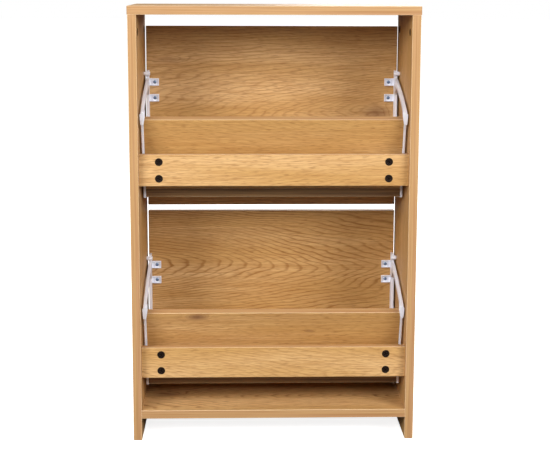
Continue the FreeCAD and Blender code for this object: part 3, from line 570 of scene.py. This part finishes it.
cam = add_node(tree, "GeometryNodeMeshBoolean", {"Mesh 1": blank.outputs[0], "Mesh 2": [dish] + slots},
               operation="DIFFERENCE")
set_on_seats(tree, given["Geometry"], cam.outputs[0], black_zinc)

CAM_NODES = {
    "rail_upper_cam_locks": (0, 1, 0),
    "rail_lower_cam_locks": (0, 1, 0),
    "top_cam_locks": (-1, 0, 0),
    "bottom_cam_locks": (0, 0, -1),
}
sizes = {size: value * millimetre for size, value in CAM_SIZES.items()}
seats = []
for node, facing in CAM_NODES.items():
    seats += head_seats(node, facing, sizes["Rim height"])
cams = grown("cam_locks", seats_mesh("cam_seats", seats), tree, sockets, sizes)
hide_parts(*CAM_NODES)
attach(cams, "carcass")

# ---------------------------------------------------------------- screws of the bins
# Pan-head cross screws of zinc-plated steel, passivated blue: four through the brackets' tabs into
# each door, and eight through the brackets' plates into the ends of each bin's boards.

# Blue-passivated plating: a soft metallic sheen with a cool tint, a little cloudy.
zinc, tree = new_material("zinc_plated_steel")
source = add_node(tree, "ShaderNodeTexCoord")
plating = add_node(tree, "ShaderNodeTexNoise", {"Vector": source.outputs["Object"],
                                                "Scale": 1 / (1.7 * millimetre), "Detail": 3.0})
colour = add_node(tree, "ShaderNodeMix", {0: plating.outputs["Fac"], 6: linear("#5f7189"),
                                          7: linear("#8c9db3")}, data_type="RGBA")
rough = add_node(tree, "ShaderNodeMapRange",
                 {"Value": plating.outputs["Fac"], "To Min": 0.25, "To Max": 0.45})
surface = add_node(tree, "ShaderNodeBsdfPrincipled", {"Base Color": colour.outputs[2], "Metallic": 1.0,
                                                      "Roughness": rough.outputs["Result"]})
add_node(tree, "ShaderNodeOutputMaterial", {"Surface": surface.outputs[0]})

# in mm; each node's own shank length is set below
SCREW_SIZES = {"Head radius": 3.7, "Head height": 2.0, "Dome radius": 5.6, "Slot length": 4.0,
               "Slot width": 0.9, "Slot depth": 1.2, "Shank radius": 2.0, "Shank length": 15.0}
SLOT_CUT = 2.0 * millimetre         # from the recess's floor to well above the head
SHANK_IN_HEAD = 0.4 * millimetre
tree, given, sockets = new_tree("cross_screw", SCREW_SIZES)
drum = cylinder(tree, given["Head radius"], given["Head radius"], given["Head height"], 0.0)
ball = add_node(tree, "GeometryNodeMeshUVSphere",
                {"Segments": 32, "Rings": 24, "Radius": given["Dome radius"]})
ball_level = add_node(tree, "ShaderNodeMath", {0: given["Head height"], 1: given["Dome radius"]},
                      operation="SUBTRACT")
ball_lift = add_node(tree, "ShaderNodeCombineXYZ", {"Z": ball_level.outputs[0]})
dome = add_node(tree, "GeometryNodeTransform", {"Geometry": ball.outputs["Mesh"],
                                                "Translation": ball_lift.outputs[0]})
blank = add_node(tree, "GeometryNodeMeshBoolean", {"Mesh 2": [drum, dome.outputs[0]]},
                 operation="INTERSECT")
slot_floor = add_node(tree, "ShaderNodeMath", {0: given["Head height"], 1: given["Slot depth"]},
                      operation="SUBTRACT")
slots = cross_recess(tree, given["Slot length"], given["Slot width"], slot_floor.outputs[0], SLOT_CUT)
head = add_node(tree, "GeometryNodeMeshBoolean", {"Mesh 1": blank.outputs[0], "Mesh 2": slots},
                operation="DIFFERENCE")
shank_level = add_node(tree, "ShaderNodeMath", {0: given["Shank length"], 1: -1.0}, operation="MULTIPLY")
shank_height = add_node(tree, "ShaderNodeMath", {0: given["Shank length"], 1: SHANK_IN_HEAD},
                        operation="ADD")
shank = cylinder(tree, given["Shank radius"], given["Shank radius"], shank_height.outputs[0],
                 shank_level.outputs[0], 16)
whole = add_node(tree, "GeometryNodeJoinGeometry", {"Geometry": [head.outputs[0], shank]})
set_on_seats(tree, given["Geometry"], whole.outputs[0], zinc)

sizes = {size: value * millimetre for size, value in SCREW_SIZES.items()}
for tier in ("upper", "lower"):
    for node, facing in ((f"{tier}_door_screws", (0, 1, 0)), (f"{tier}_board_screws", (1, 0, 0))):
        seats = head_seats(node, facing, sizes["Head height"])
        low, high = solids_of(node)[0]
        sizes["Shank length"] = (high - low).dot(Vector(facing)) - sizes["Head height"]
        screws = grown(node.replace("screws", "cross_screws"), seats_mesh(node + "_seats", seats), tree,
                       sockets, sizes)
        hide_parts(node)
        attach(screws, f"{tier}_bin")

# ---------------------------------------------------------------- bolts and dowels
# Zinc-plated cam bolts and beech dowels, both inside the joints. They keep their frame meshes, with
# the plating of the screws and a plain beech.

# Plain beech: pale, matt, with short dark flecks along the dowel.
beech, tree = new_material("plain_beech")
source = add_node(tree, "ShaderNodeTexCoord")
FLECK = (0.8 * millimetre, 0.8 * millimetre, 12 * millimetre)
stretched = add_node(tree, "ShaderNodeMapping", {"Vector": source.outputs["Object"], "Scale": FLECK},
                     vector_type="TEXTURE")
flecks = add_node(tree, "ShaderNodeTexNoise", {"Vector": stretched.outputs[0], "Scale": 1.0, "Detail": 3.0})
colour = add_node(tree, "ShaderNodeMix", {0: flecks.outputs["Fac"], 6: linear("#d9b48a"),
                                          7: linear("#b98f62")}, data_type="RGBA")
surface = add_node(tree, "ShaderNodeBsdfPrincipled", {"Base Color": colour.outputs[2], "Roughness": 0.7})
add_node(tree, "ShaderNodeOutputMaterial", {"Surface": surface.outputs[0]})
for node in ("top_cam_bolts", "bottom_cam_bolts", "rail_upper_cam_bolts", "rail_lower_cam_bolts"):
    dress(node, zinc)
for node in ("top_dowels", "bottom_dowels"):
    dress(node, beech)

# ---------------------------------------------------------------- brackets, studs and pegs
# Injection-moulded white plastic: a side bracket with its strip, arm, hook and tabs at each end of
# each door, the studs that the bins turn on and the pegs that stop them, with rounded edges.

# White polypropylene: cool white and softly glossy. Light goes a little way into it.
white_plastic, tree = new_material("white_polypropylene")
source = add_node(tree, "ShaderNodeTexCoord")
flow = add_node(tree, "ShaderNodeTexNoise",
                {"Vector": source.outputs["Object"], "Scale": 1 / (33 * millimetre), "Detail": 3.0})
colour = add_node(tree, "ShaderNodeMix",
                  {0: flow.outputs["Fac"], 6: linear("#e8eaf6"), 7: linear("#f2f4fd")}, data_type="RGBA")
# spark-eroded mould texture, about 0.5 mm from grain to grain
grains = add_node(tree, "ShaderNodeTexNoise",
                  {"Vector": source.outputs["Object"], "Scale": 1 / (0.5 * millimetre), "Detail": 2.0})
relief = add_node(tree, "ShaderNodeBump", {"Height": grains.outputs["Fac"], "Strength": 0.2,
                                           "Distance": 0.04 * millimetre})
rough = add_node(tree, "ShaderNodeMapRange", {"Value": flow.outputs["Fac"], "To Min": 0.32, "To Max": 0.44})
surface = add_node(tree, "ShaderNodeBsdfPrincipled",
                   {"Base Color": colour.outputs[2], "Roughness": rough.outputs["Result"],
                    "Normal": relief.outputs["Normal"], "IOR": 1.49, "Subsurface Weight": 0.12,
                    "Subsurface Radius": (4 * millimetre, 4 * millimetre, 5 * millimetre),
                    "Subsurface Scale": 1.0})
add_node(tree, "ShaderNodeOutputMaterial", {"Surface": surface.outputs[0]})


ROUNDED_CORNER = 40     # degrees: sharper corners are rounded
SHARP_CORNER = 35       # degrees: gentler corners are shaded smooth


def softened(name, node, width, cutters=()):
    """Merged copy of a frame node with pieces cut out and its corners rounded, as a plain mesh."""
    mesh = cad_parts[node].data.copy()
    bm = bmesh.new()
    bm.from_mesh(mesh)
    bmesh.ops.remove_doubles(bm, verts=bm.verts, dist=0.002 * millimetre)
    bmesh.ops.dissolve_limit(bm, angle_limit=math.radians(1), verts=bm.verts, edges=bm.edges)
    bm.to_mesh(mesh)
    bm.free()
    copy = bpy.data.objects.new(name, mesh)
    bpy.context.collection.objects.link(copy)
    for cutter in cutters:
        groove = copy.modifiers.new("groove", "BOOLEAN")
        groove.object = cutter
        groove.operation = "DIFFERENCE"
        groove.solver = "EXACT"
    round_off = copy.modifiers.new("round_off", "BEVEL")
    round_off.width = width
    round_off.segments = 2
    round_off.limit_method = "ANGLE"
    round_off.angle_limit = math.radians(ROUNDED_CORNER)
    graph = bpy.context.evaluated_depsgraph_get()
    result = bpy.data.meshes.new_from_object(copy.evaluated_get(graph))
    copy.modifiers.clear()
    copy.data = result
    result.materials.clear()
    result.materials.append(white_plastic)
    result.polygons.foreach_set("material_index", [0] * len(result.polygons))
    for polygon in result.polygons:
        polygon.use_smooth = True
    result.set_sharp_from_angle(angle=math.radians(SHARP_CORNER))
    for cutter in cutters:
        bpy.data.objects.remove(cutter)
    return copy


def prism(name, outline, front, rear):
    """Block with an outline in X and Z, from its front to its rear, to be cut out of a piece."""
    bm = bmesh.new()
    base = bm.faces.new([bm.verts.new((x, front, z)) for x, z in outline])
    grown_part = bmesh.ops.extrude_face_region(bm, geom=[base])["geom"]
    moved = [item for item in grown_part if isinstance(item, bmesh.types.BMVert)]
    bmesh.ops.translate(bm, verts=moved, vec=(0.0, rear - front, 0.0))
    bmesh.ops.recalc_face_normals(bm, faces=bm.faces)
    mesh = bpy.data.meshes.new(name)
    bm.to_mesh(mesh)
    bm.free()
    block = bpy.data.objects.new(name, mesh)
    bpy.context.collection.objects.link(block)
    return block


def box_cut(inwards, up, back):
    """Cut with a rectangle for its outline."""
    (near, far), (low, high) = inwards, up
    return ((near, low), (far, low), (far, high), (near, high)), back


# A bracket's cuts, in mm. Each has an outline, as distances in from the bracket's outer face and up
# from its pivot, and the two distances back from its front face that it runs between.
STRIP_SIDE = (7.8, 13.6)       # the strip loses this much of its inner side
WHOLE_STRIP = (-1.0, 30)
BEHIND_TABS = (4.9, 30)
TAB_SEAT = (8.5, 15.0)         # the tabs' seats run on into the strip
SEAT_DEPTH = (2.2, 8)
HOOK = (191, 206)
BRACKET_CUTS = [
    box_cut(STRIP_SIDE, (36, 200.8), WHOLE_STRIP),        # below the tabs
    box_cut(STRIP_SIDE, (216.4, 235.8), WHOLE_STRIP),     # between them
    box_cut(STRIP_SIDE, (150, 271), BEHIND_TABS),
    box_cut(STRIP_SIDE, (251.9, 271.5), WHOLE_STRIP),     # above them
    box_cut((8.8, 13.6), (90, 270), (27.0, 190)),         # the arm's inner side
    box_cut(TAB_SEAT, (202.8, 214.4), SEAT_DEPTH),
    box_cut(TAB_SEAT, (237.8, 249.4), SEAT_DEPTH),
    (((-1.0, 194), (0.0, 194), (2.4, 169), (2.4, 160), (-1.0, 160)), HOOK),      # it tapers downwards
    (((12.0, 186), (10.8, 186), (8.0, 169), (8.0, 160), (12.0, 160)), HOOK),     # on both sides
]
BRACKET_EDGE = 0.5 * millimetre
STUD_EDGE = 0.4 * millimetre

for tier in ("upper", "lower"):
    pivot_low, pivot_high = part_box(f"{tier}_pivot_studs")
    pivot_level = (pivot_low.z + pivot_high.z) / 2
    for side, sign in (("left", -1), ("right", 1)):
        node = f"{tier}_bracket_{side}"
        low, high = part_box(node)
        outer = max(abs(low.x), abs(high.x))
        blocks = []
        for corners, (front, rear) in BRACKET_CUTS:
            outline = [(sign * (outer - inwards * millimetre), pivot_level + up * millimetre)
                       for inwards, up in corners]
            blocks.append(prism(node + "_cut", outline, low.y + front * millimetre,
                                low.y + rear * millimetre))
        bracket = softened(node + "_moulding", node, BRACKET_EDGE, blocks)
        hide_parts(node)
        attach(bracket, f"{tier}_bin")
    for node in (f"{tier}_pivot_studs", f"{tier}_stop_pegs"):
        piece = softened(node + "_moulding", node, STUD_EDGE)
        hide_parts(node)
        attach(piece, "carcass")
